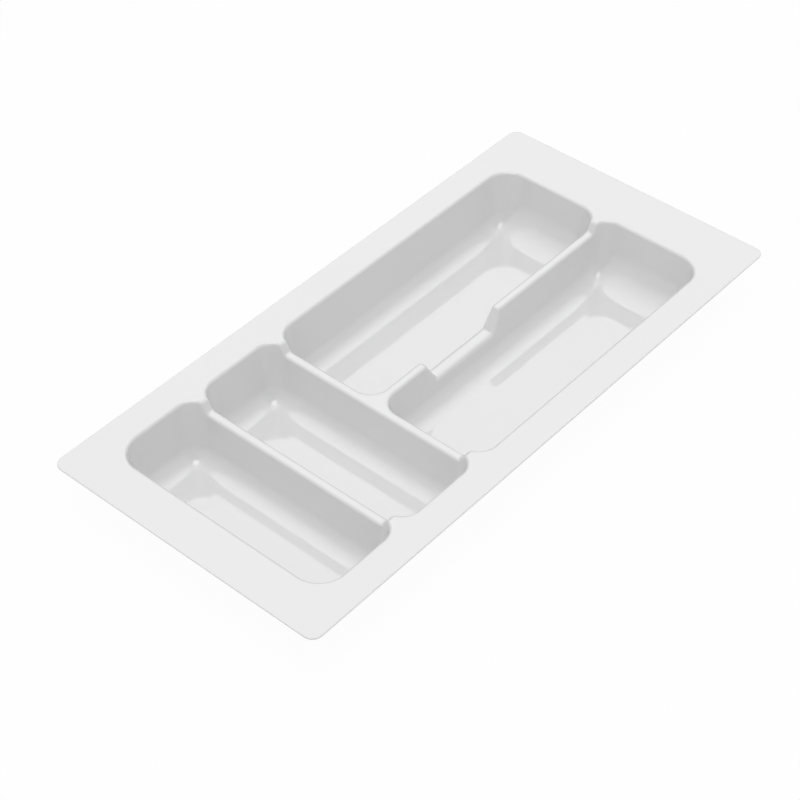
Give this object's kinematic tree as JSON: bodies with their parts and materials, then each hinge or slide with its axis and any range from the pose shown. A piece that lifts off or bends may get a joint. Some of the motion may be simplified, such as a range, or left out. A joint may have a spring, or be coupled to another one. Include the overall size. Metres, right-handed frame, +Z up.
{
  "type": "cutlery tray",
  "caption": "Formed white plastic drawer tray with a wide flat rim, cross compartments at the front, long compartments behind, and a finger notch in the long divider.",
  "frame": {"origin": "centre of the tray's outline, at the height of the floors' undersides", "axes": "+X to the right across the tray, +Y along the tray from the cross compartments to the long ones, +Z up"},
  "size_m": [0.235, 0.49, 0.049],
  "materials": {
    "white_sheet": "white plastic sheet with a soft gloss"
  },
  "bodies": {
    "root": {"rim_flange": "white_sheet", "front_compartment_floor": "white_sheet", "front_compartment_wall": "white_sheet", "middle_compartment_floor": "white_sheet", "middle_compartment_wall": "white_sheet", "left_compartment_floor": "white_sheet", "left_compartment_wall": "white_sheet", "right_compartment_floor": "white_sheet", "right_compartment_wall": "white_sheet", "front_divider": "white_sheet", "middle_divider": "white_sheet", "long_divider_front": "white_sheet", "finger_notch": "white_sheet", "long_divider_rear": "white_sheet"}
  },
  "joints": []
}
